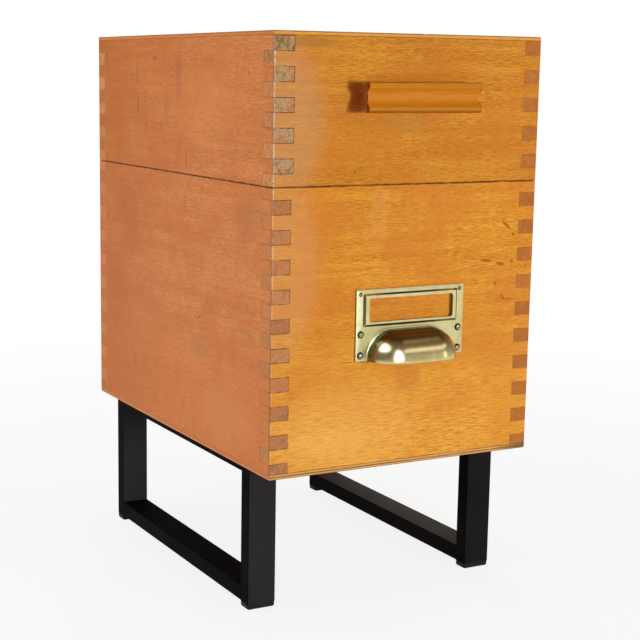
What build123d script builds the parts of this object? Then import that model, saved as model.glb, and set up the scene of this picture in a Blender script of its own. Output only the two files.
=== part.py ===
# A finger-jointed wooden file box with a deep hinged lid, standing on two black steel loop legs.
# Millimetres, +Z up, front towards -Y. The origin is on the floor, at the middle of the bounding box.
import math
import os

from build123d import *

os.makedirs("parts", exist_ok=True)

# Case: finger-jointed beech boards with a plywood panel on top and another underneath.
box_width = 259.0
box_depth = 378.0
box_board_height = 234.5
lid_board_height = 118.6
board_thickness = 17.0
lid_left_thickness = 18.5
top_panel_thickness = 3.7
bottom_panel_thickness = 4.8
finger_pitch = 12.0
box_first_finger = 9.8
lid_first_finger = 12.0
thinnest_finger = 3.0
glue_gap = 0.05
parting_gap = 0.3
corner_round = 1.2
rim_chamfer = 0.5
panel_edge_round = 0.8

# Panel pins that hold the plywood down.
panel_pin_radius = 0.7
panel_pin_length = 20.0
panel_pin_head_radius = 1.4
panel_pin_head_height = 0.9
panel_pin_corner_inset = 45.0
panel_pins_per_side = 4
panel_pins_per_end = 2
pin_hole_clearance = 0.05

# Wooden handle on the lid's front: a coved face between two lips, undercut all round for the fingers.
fittings_offset = 3.0
handle_above_rim = 71.0
handle_length = 110.0
handle_height = 24.8
handle_depth = 16.5
handle_neck_height = 16.4
handle_neck_depth = 7.0
handle_lip_depth = 3.5
handle_lip_round = 3.1
handle_end_overhang = 4.2
handle_end_round = 1.4
handle_cove_depth = 4.3
handle_screw_spacing = 70.0
handle_screw_length = 27.0
handle_screw_radius = 2.0
handle_screw_head_radius = 3.9

# Brass pull on the lower front: a flat plate with a raised card frame, and a half-round cup.
plate_width = 106.6
plate_height = 60.0
plate_thickness = 1.0
plate_below_rim = 86.2
plate_corner_round = 0.6
frame_width = 93.8
frame_height = 28.6
frame_below_plate_top = 2.7
frame_rise = 1.8
frame_sheet = 0.8
frame_wall_slope = 2.1
frame_window_width = 83.0
frame_window_height = 19.9
frame_window_drop = 0.4
frame_window_round = 2.0
cup_length = 85.4
cup_radius = 25.6
cup_sheet = 1.1
cup_bead_width = 1.3
cup_bead_height = 0.6
pull_screw_edge = 4.7
pull_screw_row_spacing = 17.8
pull_screw_head_radius = 3.2
pull_screw_head_height = 2.2
pull_screw_radius = 1.5
pull_screw_length = 14.0
pull_screw_slot_width = 0.9
pull_screw_slot_depth = 1.0
pull_screw_slot_angles = (50.0, -35.0, -50.0, 20.0)
corner_pin_edge = 3.9
corner_pin_head_radius = 1.8
corner_pin_head_height = 1.1
corner_pin_radius = 0.8
corner_pin_length = 12.0

# Brass butt hinges with a stop: leaves let into the rims, barrel outside the back.
hinge_length = 50.0
hinge_side_inset = 49.5
leaf_width = 13.0
leaf_thickness = 1.5
knuckle_radius = 2.75
knuckle_count = 5
knuckle_gap = 0.2
knuckle_clearance = 0.25
hinge_pin_radius = 1.2
hinge_bore_clearance = 0.05
hinge_pin_overhang = 0.6
stop_radius = 7.0
stop_clearance = 0.3
lid_opening_angle = 100.0
stop_slack_angle = 0.5
mortise_clearance = 0.05
hinge_screw_spacing = 18.0
hinge_screw_radius = 1.4
hinge_screw_head_radius = 2.6
hinge_screw_length = 14.0
screw_hole_clearance = 0.05

# Legs: welded rectangular tube with a flat top bar, and a plastic cap in each open lower end.
leg_height = 120.2
leg_depth = 297.2
leg_inset = 1.5
left_leg_setback = 38.8
right_leg_setback = 46.1
tube_width = 26.4
tube_depth = 14.8
tube_wall = 1.5
tube_corner_round = 1.2
top_bar_thickness = 4.5
foot_head_height = 4.8
foot_edge_round = 2.2
foot_sole_round = 2.0
foot_plug_height = 12.0
foot_plug_wall = 1.3
foot_plug_clearance = 0.1
leg_screw_count = 3
leg_screw_spacing = 95.0
leg_screw_inset = 9.0
leg_screw_radius = 2.0
leg_screw_length = 18.0
leg_screw_head_radius = 3.9
leg_screw_head_height = 2.4
leg_screw_hole_clearance = 0.3

# Levels and planes that the sizes above lead to.
leg_top_z = foot_head_height + leg_height
box_floor_z = leg_top_z + bottom_panel_thickness
rim_z = box_floor_z + box_board_height
lid_rim_z = rim_z + parting_gap
lid_top_z = lid_rim_z + lid_board_height
stop_half_angle = math.radians((lid_opening_angle + stop_slack_angle) / 2)
hinge_axis_offset = knuckle_radius + knuckle_clearance
pull_reach = plate_thickness + cup_radius
hinge_reach = hinge_axis_offset + max(knuckle_radius, stop_radius * math.cos(stop_half_angle))
front_y = (pull_reach - hinge_reach - box_depth) / 2
back_y = front_y + box_depth
mid_y = (front_y + back_y) / 2
left_x = -box_width / 2
right_x = box_width / 2
hinge_axis_y = back_y + hinge_axis_offset
hinge_axis_z = rim_z + parting_gap / 2
FROM_TOP = (Align.CENTER, Align.CENTER, Align.MAX)


def save(part, name):
    part.label = name
    export_step(part, f"parts/{name}.step")


# Heights of the fingers from the top down, as (low, high) pairs. The last one takes what is left.
def finger_bands(low, high, first_finger):
    levels = [high]
    level = high - first_finger
    while level > low + thinnest_finger:
        levels.append(level)
        level -= finger_pitch
    levels.append(low)
    return list(zip(levels[1:], levels[:-1]))


# A row of evenly spread places, centred on the middle.
def spread(count, spacing):
    return [(index - (count - 1) / 2) * spacing for index in range(count)]


# A countersunk wood screw with its head's top at the origin, pointing down. Grown, it is its own hole.
def countersunk_screw(head_radius, shank_radius, length, grow=0.0):
    with BuildPart() as screw:
        Cylinder(shank_radius + grow, length + grow, align=FROM_TOP)
        Cone(shank_radius + grow, head_radius + grow, head_radius - shank_radius, align=FROM_TOP)
    return screw.part


# Panel pins: places in plan, over the middle of the boards that they enter.
pin_line = board_thickness / 2
side_pin_pitch = (box_depth - 2 * panel_pin_corner_inset) / (panel_pins_per_side - 1)
end_pin_pitch = (box_width - 2 * panel_pin_corner_inset) / (panel_pins_per_end - 1)
pin_places = [
    (side * (right_x - pin_line), mid_y + along)
    for side in (-1, 1)
    for along in spread(panel_pins_per_side, side_pin_pitch)
] + [
    (along, mid_y + side * (box_depth / 2 - pin_line))
    for side in (-1, 1)
    for along in spread(panel_pins_per_end, end_pin_pitch)
]


# One panel pin with its head's top at the origin, pointing down. Grown, it is its own hole.
def panel_pin(grow=0.0):
    with BuildPart() as pin:
        Cylinder(panel_pin_radius + grow, panel_pin_length + grow, align=FROM_TOP)
        Cylinder(panel_pin_head_radius + grow, panel_pin_head_height, align=FROM_TOP)
    return pin.part


# Planes at every pin's head: on top of the lid facing up, or under the box facing down.
def pin_planes(height, facing):
    return [Plane(origin=(x, y, height), z_dir=(0, 0, facing)) for x, y in pin_places]


lid_pin_planes = pin_planes(lid_top_z + top_panel_thickness, 1)
box_pin_planes = pin_planes(leg_top_z, -1)
pin_hole = panel_pin(pin_hole_clearance)

# Hinge screws: heads flush with each rim, shanks into the back boards.
hinge_places = [side * (right_x - hinge_side_inset) for side in (-1, 1)]
leaf_middle_y = back_y - leaf_width / 2
hinge_screw_x = [hinge + along for hinge in hinge_places for along in spread(3, hinge_screw_spacing)]


def hinge_screw_planes(height, facing):
    return [Plane(origin=(x, leaf_middle_y, height), z_dir=(0, 0, facing)) for x in hinge_screw_x]


lid_hinge_screw_planes = hinge_screw_planes(lid_rim_z, -1)
box_hinge_screw_planes = hinge_screw_planes(rim_z, 1)
hinge_screw_hole = countersunk_screw(
    hinge_screw_head_radius, hinge_screw_radius, hinge_screw_length, screw_hole_clearance
)

# Handle screws: heads flush with the inside of the lid's front, shanks forward into the handle.
handle_z = lid_rim_z + handle_above_rim
handle_screw_planes = [
    Plane(origin=(fittings_offset + along, front_y + board_thickness, handle_z), z_dir=(0, 1, 0))
    for along in spread(2, handle_screw_spacing)
]
handle_screw_hole = countersunk_screw(
    handle_screw_head_radius, handle_screw_radius, handle_screw_length, screw_hole_clearance
)

# Pull fasteners: four screws at the sides of the plate and a small pin in each upper corner.
plate_top_z = rim_z - plate_below_rim
plate_bottom_z = plate_top_z - plate_height
plate_face_y = front_y - plate_thickness
pull_screw_x = plate_width / 2 - pull_screw_edge
pull_screw_planes = [
    Plane(
        origin=(fittings_offset + side * pull_screw_x, plate_face_y, plate_bottom_z + up),
        x_dir=(1, 0, 0),
        z_dir=(0, -1, 0),
    )
    for side in (-1, 1)
    for up in (pull_screw_edge, pull_screw_edge + pull_screw_row_spacing)
]
corner_pin_planes = [
    Plane(
        origin=(
            fittings_offset + side * (plate_width / 2 - corner_pin_edge),
            plate_face_y,
            plate_top_z - corner_pin_edge,
        ),
        z_dir=(0, -1, 0),
    )
    for side in (-1, 1)
]


# Holes for the pull's fasteners, bored through the plate and into the front board.
def bore_pull_holes():
    with Locations(*pull_screw_planes):
        Cylinder(
            pull_screw_radius + screw_hole_clearance,
            pull_screw_length + screw_hole_clearance,
            align=FROM_TOP,
            mode=Mode.SUBTRACT,
        )
    with Locations(*corner_pin_planes):
        Cylinder(
            corner_pin_radius + screw_hole_clearance,
            corner_pin_length + screw_hole_clearance,
            align=FROM_TOP,
            mode=Mode.SUBTRACT,
        )


# Leg screws: heads under the flat top bars, shanks up into the side boards.
leg_places = {"left": (-1, left_leg_setback), "right": (1, right_leg_setback)}
leg_screw_planes = {
    leg: [
        Plane(
            origin=(
                side * (right_x - leg_screw_inset),
                front_y + setback + leg_depth / 2 + along,
                leg_top_z - top_bar_thickness,
            ),
            z_dir=(0, 0, -1),
        )
        for along in spread(leg_screw_count, leg_screw_spacing)
    ]
    for leg, (side, setback) in leg_places.items()
}


def bore_leg_holes(clearance):
    for planes in leg_screw_planes.values():
        with Locations(*planes):
            Cylinder(
                leg_screw_radius + clearance, leg_screw_length + clearance, align=FROM_TOP, mode=Mode.SUBTRACT
            )


# A board across the front or back, its ends notched for the side boards' fingers.
def cross_board(low, high, outer_y, inward, rim_is_high, notches, left_finger, right_finger):
    board_y = outer_y + inward * board_thickness / 2
    with BuildPart() as board:
        with BuildSketch(Plane.XY.offset(low)):
            with Locations((0, board_y)):
                Rectangle(box_width, board_thickness)
        extrude(amount=high - low)
        outer_corners = board.edges().filter_by(Axis.Z).sort_by(Axis.Y)
        fillet(outer_corners[:2] if inward > 0 else outer_corners[-2:], corner_round)
        rim_face = board.faces().sort_by(Axis.Z)[-1 if rim_is_high else 0]
        rim_edges = rim_face.edges().sort_by(Axis.Y)
        chamfer(rim_edges[:-1] if inward > 0 else rim_edges[1:], rim_chamfer)
        for notch_low, notch_high in notches:
            notch_z = (notch_low + notch_high) / 2
            notch_height = notch_high - notch_low + glue_gap
            with Locations((left_x, board_y, notch_z)):
                Box(2 * (left_finger + glue_gap), 2 * board_thickness, notch_height, mode=Mode.SUBTRACT)
            with Locations((right_x, board_y, notch_z)):
                Box(2 * (right_finger + glue_gap), 2 * board_thickness, notch_height, mode=Mode.SUBTRACT)
    return board


# A side board, its ends notched for the fingers of the front and back boards.
def side_board(low, high, side, thickness, rim_is_high, notches):
    board_x = side * (right_x - thickness / 2)
    with BuildPart() as board:
        with BuildSketch(Plane.XY.offset(low)):
            with Locations((board_x, mid_y)):
                Rectangle(thickness, box_depth)
        extrude(amount=high - low)
        outer_corners = board.edges().filter_by(Axis.Z).sort_by(Axis.X)
        fillet(outer_corners[:2] if side < 0 else outer_corners[-2:], corner_round)
        rim_face = board.faces().sort_by(Axis.Z)[-1 if rim_is_high else 0]
        rim_edges = rim_face.edges().sort_by(Axis.X)
        chamfer(rim_edges[:-1] if side < 0 else rim_edges[1:], rim_chamfer)
        for notch_low, notch_high in notches:
            notch_z = (notch_low + notch_high) / 2
            notch_height = notch_high - notch_low + glue_gap
            with Locations((board_x, front_y, notch_z), (board_x, back_y, notch_z)):
                Box(2 * thickness, 2 * (board_thickness + glue_gap), notch_height, mode=Mode.SUBTRACT)
    return board


# Recesses in a back board's rim for the two hinge leaves.
def cut_leaf_recesses(rim_level, into_wood):
    recess_depth = leaf_thickness + mortise_clearance
    with Locations(
        *[(x, back_y - leaf_width / 2, rim_level + into_wood * recess_depth / 2) for x in hinge_places]
    ):
        Box(
            hinge_length + 2 * mortise_clearance,
            leaf_width + 2 * mortise_clearance,
            recess_depth,
            mode=Mode.SUBTRACT,
        )


# Lid frame. The side boards' fingers come first at the top.
lid_bands = finger_bands(lid_rim_z, lid_top_z, lid_first_finger)
lid_side_fingers = lid_bands[0::2]
lid_cross_fingers = lid_bands[1::2]

lid_front = cross_board(
    lid_rim_z, lid_top_z, front_y, 1, False, lid_side_fingers, lid_left_thickness, board_thickness
)
with lid_front:
    with Locations(*handle_screw_planes):
        add(handle_screw_hole, mode=Mode.SUBTRACT)
    with Locations(*lid_pin_planes):
        add(pin_hole, mode=Mode.SUBTRACT)
save(lid_front.part, "lid_front")

lid_back = cross_board(
    lid_rim_z, lid_top_z, back_y, -1, False, lid_side_fingers, lid_left_thickness, board_thickness
)
with lid_back:
    cut_leaf_recesses(lid_rim_z, 1)
    with Locations(*lid_hinge_screw_planes):
        add(hinge_screw_hole, mode=Mode.SUBTRACT)
    with Locations(*lid_pin_planes):
        add(pin_hole, mode=Mode.SUBTRACT)
save(lid_back.part, "lid_back")

for name, side, thickness in (("left", -1, lid_left_thickness), ("right", 1, board_thickness)):
    lid_side = side_board(lid_rim_z, lid_top_z, side, thickness, False, lid_cross_fingers)
    with lid_side:
        with Locations(*lid_pin_planes):
            add(pin_hole, mode=Mode.SUBTRACT)
    save(lid_side.part, f"lid_{name}_side")

# Lid top: plywood laid on the frame, flush with its outside and worn round along the upper edge.
with BuildPart() as lid_top_panel:
    with BuildSketch(Plane.XY.offset(lid_top_z)):
        with Locations((0, mid_y)):
            RectangleRounded(box_width, box_depth, corner_round)
    extrude(amount=top_panel_thickness)
    fillet(lid_top_panel.faces().sort_by(Axis.Z)[-1].edges(), panel_edge_round)
    with Locations(*lid_pin_planes):
        add(pin_hole, mode=Mode.SUBTRACT)
save(lid_top_panel.part, "lid_top_panel")

with BuildPart() as lid_panel_pins:
    with Locations(*lid_pin_planes):
        add(panel_pin())
save(lid_panel_pins.part, "lid_panel_pins")

# Box frame. The front and back boards' fingers come first at the rim.
box_bands = finger_bands(box_floor_z, rim_z, box_first_finger)
box_cross_fingers = box_bands[0::2]
box_side_fingers = box_bands[1::2]

box_front = cross_board(
    box_floor_z, rim_z, front_y, 1, True, box_side_fingers, board_thickness, board_thickness
)
with box_front:
    bore_pull_holes()
    with Locations(*box_pin_planes):
        add(pin_hole, mode=Mode.SUBTRACT)
save(box_front.part, "box_front")

box_back = cross_board(
    box_floor_z, rim_z, back_y, -1, True, box_side_fingers, board_thickness, board_thickness
)
with box_back:
    cut_leaf_recesses(rim_z, -1)
    with Locations(*box_hinge_screw_planes):
        add(hinge_screw_hole, mode=Mode.SUBTRACT)
    with Locations(*box_pin_planes):
        add(pin_hole, mode=Mode.SUBTRACT)
save(box_back.part, "box_back")

for name, side in (("left", -1), ("right", 1)):
    box_side = side_board(box_floor_z, rim_z, side, board_thickness, True, box_cross_fingers)
    with box_side:
        bore_leg_holes(screw_hole_clearance)
        with Locations(*box_pin_planes):
            add(pin_hole, mode=Mode.SUBTRACT)
    save(box_side.part, f"box_{name}_side")

# Box bottom: plywood under the frame, flush with its outside.
with BuildPart() as box_bottom_panel:
    with BuildSketch(Plane.XY.offset(leg_top_z)):
        with Locations((0, mid_y)):
            RectangleRounded(box_width, box_depth, corner_round)
    extrude(amount=bottom_panel_thickness)
    fillet(box_bottom_panel.faces().sort_by(Axis.Z)[0].edges(), panel_edge_round)
    bore_leg_holes(leg_screw_hole_clearance)
    with Locations(*box_pin_planes):
        add(pin_hole, mode=Mode.SUBTRACT)
save(box_bottom_panel.part, "box_bottom_panel")

with BuildPart() as box_panel_pins:
    with Locations(*box_pin_planes):
        add(panel_pin())
save(box_panel_pins.part, "box_panel_pins")

# Handle: one section along its length, cut to one outline in plan, so that it is undercut all round.
handle_origin = (fittings_offset, front_y, handle_z)
handle_section = Plane(origin=handle_origin, x_dir=(0, -1, 0), z_dir=(-1, 0, 0))
handle_plan = Plane(origin=handle_origin, x_dir=(0, -1, 0), z_dir=(0, 0, 1))


# Outline of the handle from its back (x = 0) to its face, from the middle (y = 0) out to its lip.
def handle_outline(neck_half, lip_half, lip_round):
    lip_start = handle_depth - handle_lip_depth
    with BuildSketch() as outline:
        with BuildLine():
            Line((0, 0), (0, neck_half))
            Line((0, neck_half), (handle_neck_depth, neck_half))
            TangentArc((handle_neck_depth, neck_half), (lip_start, lip_half), tangent=(1, 0))
            Line((lip_start, lip_half), (handle_depth - lip_round, lip_half))
            RadiusArc((handle_depth - lip_round, lip_half), (handle_depth, lip_half - lip_round), lip_round)
            Line((handle_depth, lip_half - lip_round), (handle_depth, 0))
            Line((handle_depth, 0), (0, 0))
        make_face()
        mirror(about=Plane.XZ)
    return outline.sketch


# The hollow in the handle's face: one arc that runs smoothly into the two round lips.
def handle_cove():
    lip_x = handle_depth - handle_lip_round
    lip_y = handle_height / 2 - handle_lip_round
    cove_radius = lip_y**2 / (2 * handle_cove_depth) + handle_cove_depth / 2 - handle_lip_round
    cove_x = handle_depth - handle_cove_depth + cove_radius
    lip_share = handle_lip_round / (handle_lip_round + cove_radius)
    meeting = (lip_x + lip_share * (cove_x - lip_x), lip_y * (1 - lip_share))
    with BuildSketch() as cove:
        with BuildLine():
            Line((handle_depth, 0), (handle_depth, lip_y))
            TangentArc((handle_depth, lip_y), meeting, tangent=(0, -1))
            TangentArc((handle_depth - handle_cove_depth, 0), meeting, tangent=(0, 1))
            Line((handle_depth - handle_cove_depth, 0), (handle_depth, 0))
        make_face()
        mirror(about=Plane.XZ)
    return cove.sketch


with BuildPart() as lid_handle:
    with BuildSketch(handle_section):
        add(handle_outline(handle_neck_height / 2, handle_height / 2, handle_lip_round))
        add(handle_cove(), mode=Mode.SUBTRACT)
    extrude(amount=handle_length / 2, both=True)
    with BuildSketch(handle_plan):
        add(handle_outline(handle_length / 2 - handle_end_overhang, handle_length / 2, handle_end_round))
    extrude(amount=handle_height, both=True, mode=Mode.INTERSECT)
    with Locations(*handle_screw_planes):
        add(handle_screw_hole, mode=Mode.SUBTRACT)
save(lid_handle.part, "lid_handle")

with BuildPart() as lid_handle_screws:
    with Locations(*handle_screw_planes):
        add(countersunk_screw(handle_screw_head_radius, handle_screw_radius, handle_screw_length))
save(lid_handle_screws.part, "lid_handle_screws")

# Card frame plate: flat brass with a frame pressed out of it, open along the top for the card.
plate_origin_z = (plate_top_z + plate_bottom_z) / 2
frame_z = plate_top_z - frame_below_plate_top - frame_height / 2
wood_face = Plane(origin=(fittings_offset, front_y, plate_origin_z), x_dir=(1, 0, 0), z_dir=(0, -1, 0))
frame_base = Plane(origin=(fittings_offset, plate_face_y, frame_z), x_dir=(1, 0, 0), z_dir=(0, -1, 0))
frame_inside_width = frame_width - 2 * frame_sheet
frame_inside_height = frame_height - 2 * frame_sheet
card_space = plate_thickness + frame_rise - frame_sheet
card_slot_width = frame_inside_width - 2 * frame_wall_slope

with BuildPart() as card_frame_plate:
    with BuildSketch(wood_face):
        RectangleRounded(plate_width, plate_height, plate_corner_round)
    extrude(amount=plate_thickness)
    with BuildSketch(frame_base):
        Rectangle(frame_width, frame_height)
    with BuildSketch(frame_base.offset(frame_rise)):
        Rectangle(frame_width - 2 * frame_wall_slope, frame_height - 2 * frame_wall_slope)
    loft()
    with BuildSketch(frame_base.offset(-plate_thickness)):
        Rectangle(frame_inside_width, frame_inside_height)
    with BuildSketch(frame_base.offset(frame_rise - frame_sheet)):
        Rectangle(frame_inside_width - 2 * frame_wall_slope, frame_inside_height - 2 * frame_wall_slope)
    loft(mode=Mode.SUBTRACT)
    with BuildSketch(frame_base.offset(-plate_thickness)):
        with Locations((0, (frame_inside_height - frame_wall_slope) / 2)):
            Rectangle(card_slot_width, frame_wall_slope)
    extrude(amount=card_space, mode=Mode.SUBTRACT)
    with BuildSketch(frame_base):
        with Locations((0, frame_height / 2)):
            Rectangle(card_slot_width, 2 * frame_sheet)
    extrude(amount=frame_rise - frame_sheet, mode=Mode.SUBTRACT)
    with BuildSketch(frame_base):
        with Locations((0, -frame_window_drop)):
            RectangleRounded(frame_window_width, frame_window_height, frame_window_round)
    extrude(amount=frame_rise, mode=Mode.SUBTRACT)
    bore_pull_holes()
save(card_frame_plate.part, "card_frame_plate")


# The cup's round body: a bar with ball ends, lying along the plate's lower edge.
def cup_body(radius, mode):
    half_straight = cup_length / 2 - cup_radius
    with Locations(Plane(origin=(fittings_offset, plate_face_y, plate_bottom_z), z_dir=(1, 0, 0))):
        Cylinder(radius, 2 * half_straight, mode=mode)
    with Locations(
        (fittings_offset - half_straight, plate_face_y, plate_bottom_z),
        (fittings_offset + half_straight, plate_face_y, plate_bottom_z),
    ):
        Sphere(radius, mode=mode)


# Cup: a quarter of that body, pressed from sheet, with a thin bead where it meets the plate.
cup_base = Plane(
    origin=(fittings_offset, plate_face_y, plate_bottom_z), x_dir=(1, 0, 0), z_dir=(0, -1, 0)
)
with BuildPart() as cup_pull:
    cup_body(cup_radius, Mode.ADD)
    with BuildSketch(cup_base):
        SlotOverall(cup_length + 2 * cup_bead_width, 2 * (cup_radius + cup_bead_width))
    extrude(amount=cup_bead_height)
    cup_body(cup_radius - cup_sheet, Mode.SUBTRACT)
    split(bisect_by=Plane(origin=(0, plate_face_y, 0), z_dir=(0, -1, 0)), keep=Keep.TOP)
    split(bisect_by=Plane.XY.offset(plate_bottom_z), keep=Keep.TOP)
save(cup_pull.part, "cup_pull")


# A round head with a screwdriver slot, or plain, on a shank that points down from the origin.
def round_head(head_radius, head_height, shank_radius, shank_length, slot_width, slot_depth):
    dome_radius = (head_radius**2 + head_height**2) / (2 * head_height)
    with BuildPart() as fastener:
        with BuildSketch(Plane.XZ):
            with BuildLine():
                Line((0, -shank_length), (0, head_height))
                RadiusArc((0, head_height), (head_radius, 0), dome_radius)
                Line((head_radius, 0), (shank_radius, 0))
                Line((shank_radius, 0), (shank_radius, -shank_length))
                Line((shank_radius, -shank_length), (0, -shank_length))
            make_face()
        revolve(axis=Axis.Z)
        if slot_width > 0:
            with Locations((0, 0, head_height)):
                Box(2 * head_radius, slot_width, 2 * slot_depth, mode=Mode.SUBTRACT)
    return fastener.part


pull_screw = round_head(
    pull_screw_head_radius,
    pull_screw_head_height,
    pull_screw_radius,
    pull_screw_length,
    pull_screw_slot_width,
    pull_screw_slot_depth,
)
with BuildPart() as pull_screws:
    for plane, slot_angle in zip(pull_screw_planes, pull_screw_slot_angles):
        with Locations(plane.location * Rotation(0, 0, slot_angle)):
            add(pull_screw)
save(pull_screws.part, "pull_screws")

corner_pin = round_head(
    corner_pin_head_radius, corner_pin_head_height, corner_pin_radius, corner_pin_length, 0, 0
)
with BuildPart() as pull_corner_pins:
    with Locations(*corner_pin_planes):
        add(corner_pin)
save(pull_corner_pins.part, "pull_corner_pins")

# Hinges. Each knuckle is a slice of the barrel, taken in turn by the box's leaf and the lid's.
knuckle_pitch = (hinge_length + knuckle_gap) / knuckle_count
knuckle_length = knuckle_pitch - knuckle_gap


# The plane square to the barrel's axis at a distance along it, with y pointing up or down.
def barrel_plane(x, up):
    return Plane(origin=(x, hinge_axis_y, hinge_axis_z), x_dir=(0, 1, 0), z_dir=(up, 0, 0))


# The stop: a wedge of brass behind the board, whose radial face meets the other leaf's when open.
stop_face_y = stop_radius * math.cos(stop_half_angle)
stop_face_z = stop_radius * math.sin(stop_half_angle)
with BuildSketch() as stop_wedge:
    with BuildLine():
        Polyline(
            (0, 0),
            (stop_face_y, stop_face_z),
            (-hinge_axis_offset, stop_face_z),
            (-hinge_axis_offset, 0),
            close=True,
        )
    make_face()


# One leaf: a flat plate in the rim, its share of the knuckles, and the stop along its whole length.
def hinge_leaf(middle_x, up, first_knuckle):
    rim_level = hinge_axis_z + up * parting_gap / 2
    start_x = middle_x - up * hinge_length / 2
    with BuildPart() as leaf:
        with Locations((middle_x, back_y - leaf_width / 2, rim_level + up * leaf_thickness / 2)):
            Box(hinge_length, leaf_width, leaf_thickness)
        with BuildSketch(barrel_plane(start_x, up)):
            add(stop_wedge.sketch)
            Circle(knuckle_radius + stop_clearance, mode=Mode.SUBTRACT)
        extrude(amount=hinge_length)
        for knuckle in range(first_knuckle, knuckle_count, 2):
            with BuildSketch(barrel_plane(start_x + up * knuckle * knuckle_pitch, up)):
                add(stop_wedge.sketch)
                Circle(knuckle_radius)
                with Locations((-hinge_axis_offset / 2, parting_gap / 2 + leaf_thickness / 2)):
                    Rectangle(hinge_axis_offset + 2 * leaf_thickness, leaf_thickness)
            extrude(amount=knuckle_length)
        with Locations(Plane(origin=(middle_x, hinge_axis_y, hinge_axis_z), z_dir=(1, 0, 0))):
            Cylinder(hinge_pin_radius + hinge_bore_clearance, 2 * hinge_length, mode=Mode.SUBTRACT)
        with Locations(*(lid_hinge_screw_planes if up > 0 else box_hinge_screw_planes)):
            add(hinge_screw_hole, mode=Mode.SUBTRACT)
    return leaf.part


for name, hinge_x in zip(("left", "right"), hinge_places):
    save(hinge_leaf(hinge_x, 1, 1), f"{name}_hinge_lid_leaf")
    save(hinge_leaf(hinge_x, -1, 0), f"{name}_hinge_box_leaf")
    with BuildPart() as hinge_pin:
        with Locations(Plane(origin=(hinge_x, hinge_axis_y, hinge_axis_z), z_dir=(1, 0, 0))):
            Cylinder(hinge_pin_radius, hinge_length + 2 * hinge_pin_overhang)
        chamfer(hinge_pin.edges().filter_by(GeomType.CIRCLE), hinge_pin_overhang / 2)
    save(hinge_pin.part, f"{name}_hinge_pin")

hinge_screw = countersunk_screw(hinge_screw_head_radius, hinge_screw_radius, hinge_screw_length)
with BuildPart() as lid_hinge_screws:
    with Locations(*lid_hinge_screw_planes):
        add(hinge_screw)
save(lid_hinge_screws.part, "lid_hinge_screws")

with BuildPart() as box_hinge_screws:
    with Locations(*box_hinge_screw_planes):
        add(hinge_screw)
save(box_hinge_screws.part, "box_hinge_screws")


# A length of the rectangular tube, drawn on a plane square to it.
def tube_section(width, depth):
    RectangleRounded(width, depth, tube_corner_round)
    Rectangle(width - 2 * tube_wall, depth - 2 * tube_wall, mode=Mode.SUBTRACT)


# A moulded cap: its head is the foot, and its hollow plug fills the open end of the post.
def foot_cap(x, y):
    plug_width = tube_width - 2 * (tube_wall + foot_plug_clearance)
    plug_depth = tube_depth - 2 * (tube_wall + foot_plug_clearance)
    with BuildPart() as cap:
        with BuildSketch(Plane.XY):
            with Locations((x, y)):
                RectangleRounded(tube_width, tube_depth, foot_edge_round)
        extrude(amount=foot_head_height)
        fillet(cap.faces().sort_by(Axis.Z)[0].edges(), foot_sole_round)
        with BuildSketch(Plane.XY.offset(foot_head_height)):
            with Locations((x, y)):
                Rectangle(plug_width, plug_depth)
                Rectangle(
                    plug_width - 2 * foot_plug_wall, plug_depth - 2 * foot_plug_wall, mode=Mode.SUBTRACT
                )
        extrude(amount=foot_plug_height)
    return cap.part


# Legs: two posts, a rail between their feet, and a flat bar between their tops that takes the screws.
for leg, (side, setback) in leg_places.items():
    leg_x = side * (right_x - leg_inset - tube_width / 2)
    leg_front_y = front_y + setback
    leg_back_y = leg_front_y + leg_depth
    post_y = {"front": leg_front_y + tube_depth / 2, "rear": leg_back_y - tube_depth / 2}
    inside_depth = leg_depth - 2 * tube_depth
    for end, y in post_y.items():
        with BuildPart() as post:
            with BuildSketch(Plane.XY.offset(foot_head_height)):
                with Locations((leg_x, y)):
                    tube_section(tube_width, tube_depth)
            extrude(amount=leg_height)
        save(post.part, f"{leg}_leg_{end}_post")
        save(foot_cap(leg_x, y), f"{leg}_leg_{end}_foot")
    rail_start = Plane(
        origin=(leg_x, leg_front_y + tube_depth, foot_head_height + tube_depth / 2),
        x_dir=(1, 0, 0),
        z_dir=(0, 1, 0),
    )
    with BuildPart() as bottom_rail:
        with BuildSketch(rail_start):
            tube_section(tube_width, tube_depth)
        extrude(amount=inside_depth)
    save(bottom_rail.part, f"{leg}_leg_bottom_rail")
    with BuildPart() as top_bar:
        with BuildSketch(Plane.XY.offset(leg_top_z - top_bar_thickness)):
            with Locations((leg_x, leg_front_y + leg_depth / 2)):
                Rectangle(tube_width, inside_depth)
        extrude(amount=top_bar_thickness)
        bore_leg_holes(leg_screw_hole_clearance)
    save(top_bar.part, f"{leg}_leg_top_bar")
    with BuildPart() as leg_screws:
        with Locations(*leg_screw_planes[leg]):
            add(round_head(
                leg_screw_head_radius, leg_screw_head_height, leg_screw_radius, leg_screw_length, 0, 0
            ))
    save(leg_screws.part, f"{leg}_leg_screws")
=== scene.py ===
# Wooden box with a hinged lid on black steel legs: looks, light and camera.
import math

import bpy
from mathutils import Matrix, Vector


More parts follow.
